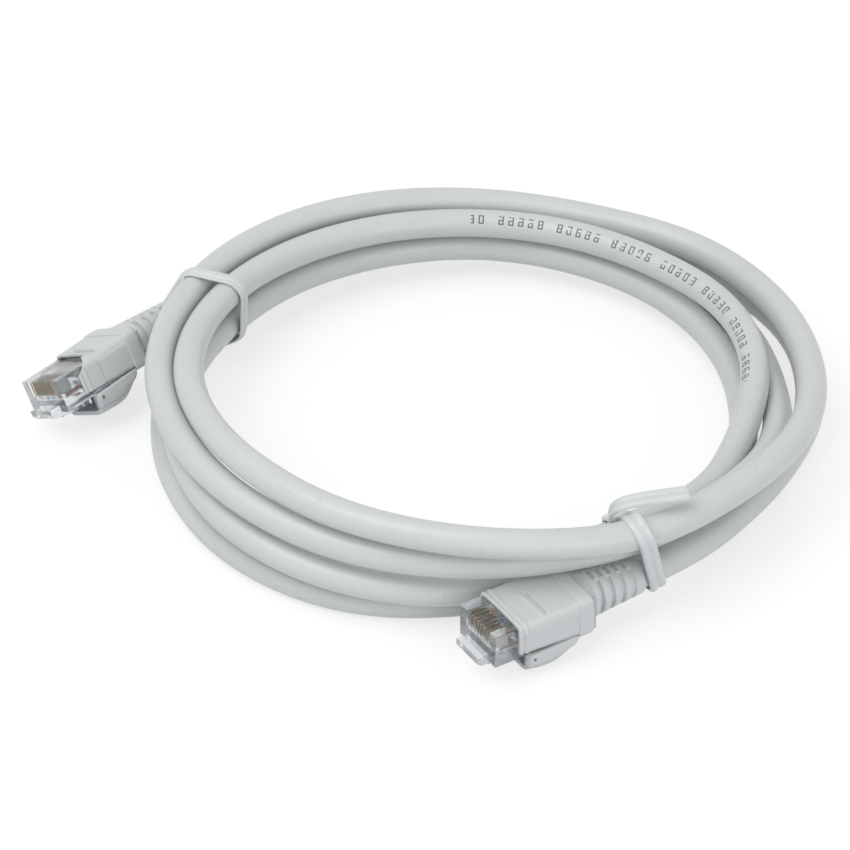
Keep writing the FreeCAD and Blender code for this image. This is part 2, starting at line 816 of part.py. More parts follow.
for side in ("right", "left"):
    print(side, "tie holds", [(round(r, 1), round(z, 1)) for r, z in strands_at(side, 0)])
rib_place = (size("right_tie_width") - size("right_tie_rib_width")) / 2 - size("tie_rib_height")
right_ribs = (-rib_place, rib_place)
right_tie = make_tie_end(right_ribs).multiFuse(make_tie("right", right_ribs))
keep(solid("right_twist_tie", right_tie.removeSplitter()), "right_twist_tie")
band, rib = make_tie("left", (0,))
keep(solid("left_twist_tie", band.fuse(rib).removeSplitter()), "left_twist_tie")

doc.recompute()
for item in doc.Objects:
    if "Invalid" in item.State or "Error" in item.State:
        raise RuntimeError("failed object " + item.Name)
box = None
for item in pieces:
    shape = item.Shape
    if shape.isNull() or not shape.isValid() or not shape.Solids:
        raise RuntimeError("bad sub-part " + item.Label)
    box = shape.BoundBox if box is None else box.united(shape.BoundBox)
    found = (item.Label, len(shape.Solids), shape.Volume, shape.BoundBox.ZMin)
    print("%-34s solids %d volume %9.2f z %.2f" % found)
print("whole box", [round(v, 2) for v in (box.XMin, box.XMax, box.YMin, box.YMax, box.ZMin, box.ZMax)])

os.makedirs("parts", exist_ok=True)
for item in pieces:
    item.Shape.exportStep("parts/%s.step" % item.Label)
print(len(pieces), "sub-parts written")
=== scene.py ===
# Coiled network patch cable, tied in a loose ring, with a clear plug and a moulded boot at each end.
# Sizes are written in millimetres and turned into metres where a mesh or a curve is made.
import json
import math

import bpy
import numpy as np
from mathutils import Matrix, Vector

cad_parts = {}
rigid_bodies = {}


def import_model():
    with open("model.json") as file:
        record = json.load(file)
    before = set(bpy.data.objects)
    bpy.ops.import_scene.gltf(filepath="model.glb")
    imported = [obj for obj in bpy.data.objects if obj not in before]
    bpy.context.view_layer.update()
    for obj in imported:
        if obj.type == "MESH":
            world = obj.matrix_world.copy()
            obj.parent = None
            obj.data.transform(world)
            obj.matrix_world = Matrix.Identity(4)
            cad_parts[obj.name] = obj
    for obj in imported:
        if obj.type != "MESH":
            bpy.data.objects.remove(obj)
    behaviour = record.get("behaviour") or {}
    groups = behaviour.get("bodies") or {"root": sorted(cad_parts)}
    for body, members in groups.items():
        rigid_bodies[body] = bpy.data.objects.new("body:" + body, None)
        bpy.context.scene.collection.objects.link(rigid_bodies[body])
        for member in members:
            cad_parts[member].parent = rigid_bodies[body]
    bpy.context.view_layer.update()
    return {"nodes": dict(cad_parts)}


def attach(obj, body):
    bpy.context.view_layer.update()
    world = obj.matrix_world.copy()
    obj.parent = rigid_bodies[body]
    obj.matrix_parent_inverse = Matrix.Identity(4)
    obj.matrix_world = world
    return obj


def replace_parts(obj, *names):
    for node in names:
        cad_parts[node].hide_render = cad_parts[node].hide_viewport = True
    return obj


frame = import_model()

MM = 0.001

# Sizes shared by the cable and its plugs

CABLE = 5.8
HOUSING_HEIGHT = 6.6
AXIS_HEIGHT = HOUSING_HEIGHT / 2
BOOT_FRONT, COLLAR_FRONT, COLLAR_BACK = 4.7, 17.4, 20.4
RELIEF_FRONT, RELIEF_BACK = 22.6, 34.0

# Where the ring and the plugs lie

RING = np.array([10.9, 8.0, 0.0])
RING_LIFT = 1.0


def unit(vectors):
    """The same directions, each one long."""
    return vectors / np.linalg.norm(vectors, axis=-1, keepdims=True)


def travelled(line):
    """Distance along a line at each of its points."""
    return np.concatenate([[0], np.cumsum(np.linalg.norm(np.diff(line, axis=0), axis=1))])


def outward(degrees):
    """Level direction away from the ring's axis at an angle about it."""
    return np.array([math.cos(math.radians(degrees)), math.sin(math.radians(degrees)), 0.0])


def turned(axis, degrees):
    """Rotation matrix about a coordinate axis."""
    c, s = math.cos(math.radians(degrees)), math.sin(math.radians(degrees))
    a, b = [k for k in range(3) if k != axis]
    out = np.eye(3)
    out[a, a], out[b, b] = c, c
    out[a, b], out[b, a] = (-s, s) if axis != 1 else (s, -s)
    return out


class Plug:
    """One end's own frame: x across, y from its front face back to the cable, z up from its underside."""

    def __init__(self, name, offset, azimuth, rise, roll):
        self.name = name
        self.origin = RING + offset
        self.axes = turned(2, azimuth - 90) @ turned(0, rise) @ turned(1, roll)

    def place(self, points):
        """Points of the plug's frame, in the object's frame, both in millimetres."""
        return np.asarray(points, float) @ self.axes.T + self.origin


FRONT = Plug("front_plug", (-1.6, -79.2, 5.2), 32.0, 0.0, 0.0)
LEFT = Plug("left_plug", (-82.9, -6.9, 6.1), 47.0, 3.0, -27.0)
PLUGS = (FRONT, LEFT)


def put(name, data):
    """Object made of a mesh, curve, lamp or camera and linked to the scene."""
    made = bpy.data.objects.new(name, data)
    bpy.context.scene.collection.objects.link(made)
    return made


# Finishes


class Value:
    """A node's output on which arithmetic adds Math nodes."""

    def __init__(self, finish, socket):
        self.finish = finish
        self.socket = socket

    def _with(self, operation, *values):
        return self.finish.node("ShaderNodeMath", dict(enumerate(values)), operation=operation)

    def __add__(self, other):
        return self._with("ADD", self, other)

    def __sub__(self, other):
        return self._with("SUBTRACT", self, other)

    def __rsub__(self, other):
        return self._with("SUBTRACT", other, self)

    def __mul__(self, other):
        return self._with("MULTIPLY", self, other)

    def most(self, other):
        """The greater of two values."""
        return self._with("MAXIMUM", self, other)

    def whole(self):
        return self._with("FLOOR", self)

    def part(self):
        return self._with("FRACT", self)

    def over_whole(self, count):
        """Remainder after a division by a whole number."""
        return self._with("MODULO", self, count)

    def over(self, edge, soft):
        """0 below an edge and 1 above it, with a soft step."""
        return self.finish.node(
            "ShaderNodeMapRange",
            {"Value": self, "From Min": edge - soft, "From Max": edge + soft, "To Min": 0.0, "To Max": 1.0},
            interpolation_type="SMOOTHSTEP",
        )


class Finish:
    """A material, or the world, with one shader whose sockets are set by name."""

    def __init__(self, name, world=False):
        self.holder = bpy.data.worlds.new(name) if world else bpy.data.materials.new(name)
        self.holder.use_nodes = True
        self.nodes = self.holder.node_tree.nodes
        self.links = self.holder.node_tree.links
        self.shader = self.nodes["Background" if world else "Principled BSDF"]

    def feed(self, socket, value):
        """A link from a node's output, or a plain value, into a socket. A colour gets its alpha."""
        if isinstance(value, Value):
            self.links.new(value.socket, socket)
        else:
            socket.default_value = (*value, 1.0) if socket.type == "RGBA" else value

    def node(self, kind, inputs=None, output=0, **settings):
        """Any node: its settings first, then its sockets. Gives the output asked for."""
        made = self.nodes.new(kind)
        for key, value in settings.items():
            setattr(made, key, value)
        for key, value in (inputs or {}).items():
            self.feed(made.inputs[key], value)
        return Value(self, made.outputs[output])

    def noise(self, scale, detail=3.0, roughness=0.5):
        """Cloudy value from 0 to 1, in the object's own coordinates."""
        place = self.node("ShaderNodeTexCoord", output="Object")
        return self.node(
            "ShaderNodeTexNoise",
            {"Vector": place, "Scale": scale, "Detail": detail, "Roughness": roughness},
            output="Fac",
        )

    def facing(self, direction):
        """1 where the surface faces a direction and -1 where it faces away from it."""
        normal = self.node("ShaderNodeTexCoord", output="Normal")
        inputs = {0: normal, 1: tuple(direction)}
        return self.node("ShaderNodeVectorMath", inputs, output="Value", operation="DOT_PRODUCT")

    def seen(self):
        """1 for rays from the camera, from a gloss and through clear pieces, 0 for the light's own."""
        ways = ("Is Camera Ray", "Is Glossy Ray", "Is Transmission Ray")
        camera, gloss, clear = (self.node("ShaderNodeLightPath", output=way) for way in ways)
        return camera.most(gloss).most(clear)

    def mix(self, factor, a, b):
        """Colour a where the factor is 0 and b where it is 1."""
        return self.node("ShaderNodeMix", {0: factor, 6: a, 7: b}, output=2, data_type="RGBA")

    def chance(self, number):
        """Random value from 0 to 1 that stays the same for the same number."""
        return self.node("ShaderNodeTexWhiteNoise", {"W": number}, noise_dimensions="1D")

    def bump(self, height, distance):
        return self.node("ShaderNodeBump", {"Height": height, "Distance": distance}, output="Normal")

    def set(self, **sockets):
        """Sets the shader's sockets, written with _ for a space."""
        for key, value in sockets.items():
            self.feed(self.shader.inputs[key.replace("_", " ")], value)
        return self


def between(value, low, high, soft):
    """1 where a value lies between two edges."""
    return value.over(low, soft) * (1.0 - value.over(high, soft))


# The print: a cell's length in metres, and its height and middle in shares of the way around
CELL, CELL_RISE, ROW_MIDDLE = 0.0021, 0.105, 0.135
CELLS_PER_GROUP, STROKE_CHANCE = 6.0, 0.3

# A digit's strokes in its cell, the bounds across and up, and a seed for each that comes and goes
STROKES = (
    ((0.22, 0.72), (0.02, 0.15), None),
    ((0.22, 0.72), (0.85, 0.98), None),
    ((0.60, 0.74), (0.05, 0.5), None),
    ((0.60, 0.74), (0.5, 0.95), 1.3),
    ((0.22, 0.72), (0.44, 0.57), 2.7),
    ((0.20, 0.34), (0.5, 0.95), 3.1),
    ((0.20, 0.34), (0.05, 0.5), 4.9),
)


def legend(finish, first, last):
    """Row of meaningless counter digits printed along the jacket between two distances in metres.
    The first cell of every group stays empty."""
    uv = finish.node("ShaderNodeUVMap", uv_map="along")
    reach = finish.node("ShaderNodeSeparateXYZ", {0: uv})
    around = finish.node("ShaderNodeSeparateXYZ", {0: uv}, output=1)
    cells = reach * (1 / CELL)
    cell, x = cells.whole(), cells.part()
    y = around * (1 / CELL_RISE) - (ROW_MIDDLE / CELL_RISE - 0.5)
    ink = None
    for wide, high, seed in STROKES:
        stroke = between(x, *wide, 0.03) * between(y, *high, 0.03)
        if seed:
            stroke = stroke * finish.chance(cell + seed).over(STROKE_CHANCE, 0.01)
        ink = ink.most(stroke) if ink else stroke
    return ink * cell.over_whole(CELLS_PER_GROUP).over(0.5, 0.1) * between(reach, first, last, 0.0001)


def jacket_finish(first, last):
    """Satin cable jacket, pale grey, with faint clouding, scuffs and a fine extruded grain."""
    finish = Finish("jacket_pvc")
    cloud = finish.noise(45.0, detail=4.0)
    grain = finish.noise(2600.0, detail=2.0)
    scuff = finish.noise(420.0, detail=5.0, roughness=0.7).over(0.62, 0.06)
    colour = finish.mix(cloud, (0.545, 0.575, 0.57), (0.615, 0.635, 0.63))
    colour = finish.mix(scuff * 0.25, colour, (0.47, 0.49, 0.48))
    worn = finish.noise(900.0, detail=3.0).over(0.36, 0.08)
    colour = finish.mix(legend(finish, first, last) * worn * 0.95, colour, (0.07, 0.08, 0.08))
    return finish.set(
        Base_Color=colour,
        Roughness=cloud * 0.10 + 0.36 + scuff * 0.12,
        Normal=finish.bump(grain * 0.4 + cloud, 0.00004),
        IOR=1.5,
        Coat_Weight=0.15,
        Coat_Roughness=0.25,
    )


def boot_finish():
    """Moulded boot, the jacket's colour but smoother, with a fine spark-eroded grain."""
    finish = Finish("boot_pvc")
    cloud = finish.noise(90.0, detail=3.0)
    grain = finish.noise(5200.0, detail=2.0)
    return finish.set(
        Base_Color=finish.mix(cloud, (0.55, 0.575, 0.58), (0.61, 0.63, 0.635)),
        Roughness=cloud * 0.08 + 0.40,
        Normal=finish.bump(grain, 0.00002),
        IOR=1.5,
    )


def clear_finish():
    """Clear moulded plastic: it bends the light, with flow marks and faint haze."""
    finish = Finish("clear_plastic")
    flow = finish.noise(260.0, detail=2.0)
    return finish.set(
        Base_Color=finish.mix(flow, (0.84, 0.88, 0.91), (0.92, 0.95, 0.97)),
        Roughness=flow * 0.12 + 0.03,
        Alpha=0.8,
        Transmission_Weight=0.92,
        IOR=1.45,
        Normal=finish.bump(flow, 0.00006),
    )


def hidden_bar_finish():
    """Plastic inside the clear housing, which shows only as a faint grey."""
    finish = Finish("clear_bar")
    flow = finish.noise(300.0, detail=2.0)
    return finish.set(
        Base_Color=finish.mix(flow, (0.62, 0.67, 0.69), (0.72, 0.76, 0.77)),
        Roughness=flow * 0.1 + 0.2,
        Alpha=0.35,
        IOR=1.45,
    )


def mark_finish():
    """Dark moulding mark in the hood's side."""
    finish = Finish("moulding_mark")
    cloud = finish.noise(900.0)
    return finish.set(
        Base_Color=finish.mix(cloud, (0.10, 0.11, 0.12), (0.17, 0.18, 0.19)),
        Roughness=cloud * 0.2 + 0.4,
    )


def tape_finish():
    """Plastic tie tape, whiter and glossier than the jacket."""
    finish = Finish("tie_tape")
    cloud = finish.noise(150.0, detail=3.0)
    return finish.set(
        Base_Color=finish.mix(cloud, (0.57, 0.61, 0.61), (0.65, 0.685, 0.685)),
        Roughness=cloud * 0.12 + 0.26,
        Normal=finish.bump(cloud, 0.00004),
    )


def contact_finish(plug):
    """Contact blade: gold on its edges, where it was plated, and pale nickel on its flat sides."""
    finish = Finish(plug.name + "_contact_plating")
    wear = finish.noise(1800.0, detail=3.0)
    gold = finish.mix(wear, (0.38, 0.23, 0.06), (0.60, 0.40, 0.15))
    nickel = finish.mix(wear, (0.42, 0.42, 0.40), (0.55, 0.55, 0.53))
    across = finish.facing(plug.axes[:, 0])
    return finish.set(
        Base_Color=finish.mix((across * across).over(0.5, 0.1), gold, nickel),
        Metallic=0.75,
        Roughness=wear * 0.15 + 0.25,
    )


BOOT = boot_finish()
CLEAR = clear_finish()
CLEAR_BAR = hidden_bar_finish()
MARK = mark_finish()
TAPE = tape_finish()
PLATING = {plug.name: contact_finish(plug) for plug in PLUGS}

WIRE_COLOURS = {
    "orange_white": ((0.80, 0.78, 0.74), (0.85, 0.30, 0.05)),
    "orange": ((0.85, 0.27, 0.04), None),
    "green_white": ((0.76, 0.80, 0.76), (0.05, 0.40, 0.15)),
    "blue": ((0.04, 0.10, 0.45), None),
    "blue_white": ((0.74, 0.78, 0.82), (0.05, 0.15, 0.55)),
    "green": ((0.03, 0.30, 0.10), None),
    "brown_white": ((0.78, 0.76, 0.72), (0.28, 0.13, 0.06)),
    "brown": ((0.22, 0.09, 0.04), None),
}


def wire_finish(name, base, stripe, plug):
    """Insulated wire: one colour, or white with a stripe along its upper side."""
    finish = Finish(name)
    colour = base
    if stripe:
        colour = finish.mix(finish.facing(plug.axes[:, 2]).over(0.8, 0.05), base, stripe)
    speckle = finish.noise(3000.0)
    return finish.set(Base_Color=colour, Roughness=speckle * 0.1 + 0.25)


def dress(node, finish):
    """Gives a CAD node's object a finish."""
    slots = frame["nodes"][node].material_slots
    for slot in slots:
        slot.material = finish.holder
    if not slots:
        frame["nodes"][node].data.materials.append(finish.holder)


# Meshes


def piece(name, points, faces, finish, body="cable", uv=None):
    """Smooth mesh object of a finished piece: points in millimetres, riding on a CAD body."""
    mesh = bpy.data.meshes.new(name)
    faces = faces if isinstance(faces, list) else faces.tolist()
    mesh.from_pydata((points.reshape(-1, 3) * MM).tolist(), [], faces)
    if uv is not None:
        layer = mesh.uv_layers.new(name="along")
        layer.data.foreach_set("uv", uv.ravel())
    mesh.polygons.foreach_set("use_smooth", np.full(len(mesh.polygons), True))
    mesh.materials.append(finish.holder)
    mesh.update()
    made = put(name, mesh)
    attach(made, body)
    return made


def quads(rows, columns):
    """Faces of a grid whose rows follow each other and whose columns close on themselves."""
    i, j = np.meshgrid(np.arange(rows - 1), np.arange(columns), indexing="ij")
    a, b = i * columns + j, i * columns + (j + 1) % columns
    return np.stack([a, b, b + columns, a + columns], -1).reshape(-1, 4)


# The cable: each entry of TURNS holds one turn's (radius, height) at 135, 90, 45, 0, 315, 270, 225
# and 180 degrees about the ring's axis, clockwise from above

TURNS = (
    ((61.0, 9.8), (58.8, 6.7), (56.5, 4.0), (57.5, 7.8),
     (62.8, 13.5), (68.0, 15.8), (66.5, 15.9), (61.5, 16.2)),
    ((57.5, 16.0), (56.5, 13.0), (61.6, 10.3), (63.0, 12.2),
     (67.4, 18.4), (70.0, 22.2), (63.0, 21.8), (54.5, 17.5)),
    ((50.5, 14.5), (49.0, 12.5), (49.5, 12.0), (52.2, 12.1),
     (55.5, 10.7), (60.9, 9.3), (66.4, 9.5), (58.6, 9.2)),
    ((52.5, 7.6), (50.5, 6.0), (50.0, 4.8), (50.4, 3.8),
     (54.0, 3.2), (62.0, 3.0), (66.0, 2.95), (62.6, 2.95)),
    ((61.8, 2.95), (65.2, 3.0), (66.4, 3.0), (63.4, 3.0),
     (63.0, 5.2)),
)
LEAD_IN, LEAD_OUT = (64.5, 9.8), (74.0, 9.0)
START, PLACE_STEP, PLACES_PER_TURN = 135.0, 22.5, 16
PLUG_PLACES = (23.0, 28.0, 33.5, 41.0)

# How far the jacket lies from those places where the photograph shows it so, in (radius, height),
# for a turn and an angle
NUDGES = {
    (0, 22.5): (-0.8, 0.3), (0, 0.0): (-1.5, -1.0), (0, 337.5): (-0.3, -1.2), (0, 292.5): (0.0, -0.5),
    (0, 270.0): (0.0, -0.6), (0, 247.5): (0.0, -0.8), (0, 225.0): (0.0, 0.3), (0, 202.5): (-0.3, 0.8),
    (1, 90.0): (-0.5, 0.0), (1, 67.5): (-1.4, 0.0), (1, 292.5): (1.0, -1.4), (1, 270.0): (0.4, -0.6),
    (1, 247.5): (0.4, -0.6), (1, 225.0): (0.4, 0.1), (1, 202.5): (0.4, 0.3), (1, 180.0): (0.8, 0.0),
    (1, 157.5): (0.5, 0.0),
    (2, 22.5): (1.0, 0.0), (2, 0.0): (0.4, 0.0), (2, 337.5): (-0.5, -0.9), (2, 315.0): (1.4, -0.7),
    (2, 292.5): (-1.3, -0.6), (2, 270.0): (4.0, -2.2), (2, 247.5): (3.8, -1.2), (2, 225.0): (0.8, 0.2),
    (2, 202.5): (-1.0, 1.1), (2, 180.0): (-1.7, 0.1), (2, 157.5): (-2.3, 0.0),
    (3, 135.0): (-1.2, 0.0), (3, 112.5): (-0.8, 0.0), (3, 337.5): (0.8, 0.0), (3, 315.0): (1.8, 0.0),
    (3, 292.5): (-0.6, -0.5), (3, 270.0): (-0.6, -0.85), (3, 247.5): (1.4, -0.85), (3, 225.0): (0.1, -0.6),
    (3, 202.5): (-1.2, -0.4), (3, 180.0): (-1.6, -0.2),
    (4, 45.0): (-1.4, 0.0), (4, 22.5): (1.3, 0.0), (4, 0.0): (0.5, 0.0), (4, 337.5): (-1.2, 0.0),
    (4, 315.0): (-0.8, 0.0),
}


def place_number(turn, where):
    """Number of a place along the turns, counted from their start."""
    return PLACES_PER_TURN * turn + round((START - where) % 360 / PLACE_STEP)


def coil_points():
    """Places every 22.5 degrees along the turns. Between two entries of TURNS, radius and height
    are (-a + 9 b + 9 c - d) / 16 of the four entries around, a cubic through them."""
    lie = np.array([LEAD_IN] + [spot for turn in TURNS for spot in turn] + [LEAD_OUT])
    halfway = (-lie[:-3] + 9 * lie[1:-2] + 9 * lie[2:-1] - lie[3:]) / 16
    spots = np.empty((2 * len(halfway) + 1, 2))
    spots[::2], spots[1::2] = lie[1:-1], halfway
    for (turn, where), nudge in NUDGES.items():
        spots[place_number(turn, where)] += nudge
    angle = np.radians(START - PLACE_STEP * np.arange(len(spots)))
    flat = np.stack([np.cos(angle), np.sin(angle), np.zeros_like(angle)], 1) * spots[:, :1]
    return RING + flat + np.outer(spots[:, 1] + RING_LIFT, (0, 0, 1))


def along_plug(plug, distances):
    """Points on the cable's axis in a plug, at distances behind its front face."""
    return plug.place([(0, y, AXIS_HEIGHT) for y in distances])


def cable_controls():
    """Control points from the left plug to the front one. Each on the coil stands outside its place
    by an eighth of the bend there, (10 b - a - c) / 8, because the spline cuts inside by that much."""
    left = along_plug(LEFT, PLUG_PLACES)
    front = along_plug(FRONT, PLUG_PLACES[::-1])
    places = np.vstack([left, coil_points(), front])
    controls = places.copy()
    controls[1:-1] = (10 * places[1:-1] - places[:-2] - places[2:]) / 8
    controls[:len(left)] = left
    controls[-len(front):] = front
    return controls


def spline_path(name, controls, resolution):
    """Points read from a quadratic NURBS spline through a list of control points."""
    curve = bpy.data.curves.new(name, "CURVE")
    curve.dimensions = "3D"
    curve.resolution_u = resolution
    spline = curve.splines.new("NURBS")
    spline.points.add(len(controls) - 1)
    spline.points.foreach_set("co", np.column_stack([controls * MM, np.ones(len(controls))]).ravel())
    spline.order_u = 3
    spline.use_endpoint_u = True
    holder = put(name, curve)
    bpy.context.view_layer.update()
    mesh = bpy.data.meshes.new_from_object(holder)
    path = np.empty(3 * len(mesh.vertices))
    mesh.vertices.foreach_get("co", path)
    bpy.data.objects.remove(holder)
    bpy.data.curves.remove(curve)
    bpy.data.meshes.remove(mesh)
    return path.reshape(-1, 3) / MM


def carried(path):
    """Side and upper directions at each point of a path."""
    heading = unit(np.gradient(path, axis=0))
    side = unit(np.cross(heading, (0, 0, 1)))
    return side, np.cross(side, heading)


def least_gap(path, reach, apart=90.0, block=200):
    """Least distance between stretches of a path that are far apart along it, less its diameter.
    The path is taken in blocks of points, to spare memory."""
    near = np.inf
    for start in range(0, len(path), block):
        some = slice(start, start + block)
        distance = np.linalg.norm(path[some, None] - path[None], axis=2)
        distance[np.abs(reach[some, None] - reach[None]) < apart] = np.inf
        near = min(near, distance.min())
    return near - CABLE


def make_cable(path, reach):
    """Round jacket: a circle carried along the route, swollen a little where the pairs inside turn.
    Its own coordinates are the distance along it in metres and the share of the way around."""
    columns, swelling, twist = 32, 0.035, 70.0
    side, upper = carried(path)
    around = np.linspace(0, 2 * np.pi, columns, endpoint=False)
    swell = swelling * np.cos(2 * around[None] - 2 * np.pi * reach[:, None] / twist)
    radius = CABLE / 2 - swelling + swell
    ring = side[:, None] * np.cos(around)[None, :, None] + upper[:, None] * np.sin(around)[None, :, None]
    points = path[:, None] + ring * radius[..., None]
    faces = quads(len(path), columns)
    uv = np.stack(np.broadcast_arrays(reach[:, None] * MM, around[None] / (2 * np.pi)), -1)
    uv = uv.reshape(-1, 2)[faces]
    uv[columns - 1::columns, 1:3, 1] = 1.0
    made = piece("cable_jacket", points, faces, JACKET, uv=uv)
    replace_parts(made, "cable_coil", "front_cable_tail", "left_cable_tail")
    print("cable: length %.0f mm, least gap to itself %.2f mm, lowest %.2f mm"
          % (reach[-1], least_gap(path, reach), points[..., 2].min()))
    return made


PRINT_RADIUS, PRINT_HEIGHT = 50.5, 13.2


def print_end(where):
    """Distance in metres along the cable to an end of the print, which lies on the inner strand."""
    spot = RING + PRINT_RADIUS * outward(where) + (0, 0, PRINT_HEIGHT)
    return cable_reach[np.argmin(np.linalg.norm(cable_path - spot, axis=1))] * MM


cable_path = spline_path("route", cable_controls(), 20)
cable_reach = travelled(cable_path)
JACKET = jacket_finish(print_end(92.0), print_end(350.0))
cable = make_cable(cable_path, cable_reach)

# Boots

SHROUD_WIDTH, SHROUD_TOP, SHROUD_EDGE, SHROUD_CORNER = 13.28, 7.15, 1.4, 1.2
SHROUD_RISE, SHROUD_DROP = 0.45, 0.6
SIDE_WALL, TOP_WALL = 0.7, 0.42

# The shroud's ridges and grooves, each with its height, its two ends and how soft they are: at the
# front, measured from there, and on top, in and around the thumb slot
LIPS_BACK, LIPS = 6.8, ((0.2, 0.0, 0.6, 0.25), (0.2, 1.2, 1.8, 0.25), (-0.1, 0.7, 1.1, 0.2))
THUMB_FRONT, THUMB_BACK, THUMB_SIDES = 9.4, 12.2, (-1.8, 5.3)
THUMB = ((0.22, 9.7, 10.4, 0.2), (-0.33, 10.5, 11.1, 0.06), (0.45, 11.2, 11.8, 0.16))

WINDOW_SIDE, WINDOW_BACK, WINDOW_LOW = 3.4, 9.8, 4.6
COLLAR_RISE = 0.45
SLOT_FLOOR, BORE = 3.02, 3.0
HOOD_FRONT, HOOD_BACK, HOOD_DEPTH, HOOD_END_DEPTH = 7.0, 17.15, 4.3, 1.5
HOOD_WIDTH, HOOD_BULGE, HOOD_WALL, HOOD_CORNER = 5.3, 0.9, 0.8, 1.4
FLARE_WIDTH, FLARE_HEIGHT = 6.75, -1.2
MARK_PLACE, MARK_RADIUS = (7.9, -0.9), 0.32


def step(value, low, high, soft):
    """1 between two bounds and 0 outside them, with edges that take a little room."""
    rise = np.clip((value - low) / soft + 0.5, 0, 1)
    fall = np.clip((high - value) / soft + 0.5, 0, 1)
    return rise * fall


def channel(y, half, base, edge, walls, rounding, relief=None):
    """Rows of a trough's closed section. Going round it: up one side, round a corner of the given
    radius, across the base, round the other corner, down the other side, and back inside the
    wall. The base is at height base and the free edges are at height edge, above or below it."""
    y, half, base, edge = (np.asarray(v, float)[:, None] for v in np.broadcast_arrays(y, half, base, edge))
    up = np.sign(base[0, 0] - edge[0, 0])
    few, many = 9, 41
    t = np.linspace(0, 1, few)[None]
    bend = np.radians(np.linspace(0, 90, few))[None]

    def outline(width, top, radius):
        side = [np.broadcast_to(-width, (len(y), few)), edge + (top - up * radius - edge) * t]
        corner = [-(width - radius) - radius * np.cos(bend), top - up * radius * (1 - np.sin(bend))]
        across = np.linspace(-1, 1, many)[None] * (width - radius)
        left = np.stack([np.hstack([side[0], corner[0]]), np.hstack([side[1], corner[1]])], -1)
        right = left[:, ::-1] * (-1, 1)
        middle = np.stack([across, np.broadcast_to(top, across.shape)], -1)
        return np.concatenate([left, middle, right], 1)

    outer = outline(half, base, rounding)
    inner = outline(half - walls[0], base - up * walls[1], max(rounding - walls[0], 0.25))
    if relief is not None:
        bent = np.concatenate([np.zeros(few), np.linspace(0, 90, few), np.full(many, 90.0)])
        bent = np.radians(np.concatenate([bent, 180 - bent[:2 * few][::-1]]))
        normal = np.stack([-np.cos(bent), up * np.sin(bent)], -1)
        outer = outer + relief(y, outer[..., 0])[..., None] * normal[None]
    loop = np.concatenate([outer, inner[:, ::-1]], 1)
    return np.stack([loop[..., 0], np.broadcast_to(y, loop.shape[:2]), loop[..., 1]], -1)


def trough(plug, name, rows, body="cable"):
    """Closed piece of a boot from the rows of a channel, with an end wall between its outer and
    inner line."""
    count = rows.shape[1]
    half = count // 2
    faces = quads(len(rows), count)
    i = np.arange(half - 1)
    cap = np.stack([i, count - 1 - i, count - 2 - i, i + 1], -1)
    last = cap[:, ::-1] + (len(rows) - 1) * count
    return piece(plug.name + name, plug.place(rows), np.vstack([faces, cap, last]), BOOT, body)


def shroud_relief(y, x):
    """Height of the shroud's ridges and slot: two lips at its front, and a thumb slot on top
    between a low ridge and a higher one."""
    lips = sum(height * step(y - BOOT_FRONT, *ends) for height, *ends in LIPS)
    thumb = sum(height * step(y, *ends) for height, *ends in THUMB)
    return lips + thumb * step(x, *THUMB_SIDES, 0.3)


def tapered(rows):
    """Rows of the shroud grown taller to the back: its top rises and its free edges drop, each in
    proportion to the distance from its front."""
    share = (rows[..., 1] - BOOT_FRONT) / (COLLAR_FRONT - BOOT_FRONT)
    height = np.clip((rows[..., 2] - SHROUD_EDGE) / (SHROUD_TOP - SHROUD_EDGE), 0, 1)
    rows[..., 2] += share * (SHROUD_RISE * height - SHROUD_DROP * (1 - height))
    return rows


def make_shroud(plug, start=BOOT_FRONT):
    """Front of the boot: a trough over the housing, open underneath for the latch. Its rows are
    close together at the lips and at the thumb slot."""
    lips = np.linspace(BOOT_FRONT, LIPS_BACK, 40)
    thumb = np.linspace(THUMB_FRONT, THUMB_BACK, 56)
    y = np.unique(np.concatenate([np.linspace(start, COLLAR_FRONT + 0.3, 40), lips, thumb]))
    y = y[y >= start]
    fold = np.clip(1 - (y - BOOT_FRONT) / 0.35, 0, 1) ** 2 * 0.2
    half, top, walls = SHROUD_WIDTH / 2 - fold, SHROUD_TOP - fold, (SIDE_WALL, TOP_WALL)
    rows = channel(y, half, top, SHROUD_EDGE, walls, SHROUD_CORNER, shroud_relief)
    return trough(plug, "_boot_shroud", tapered(rows))


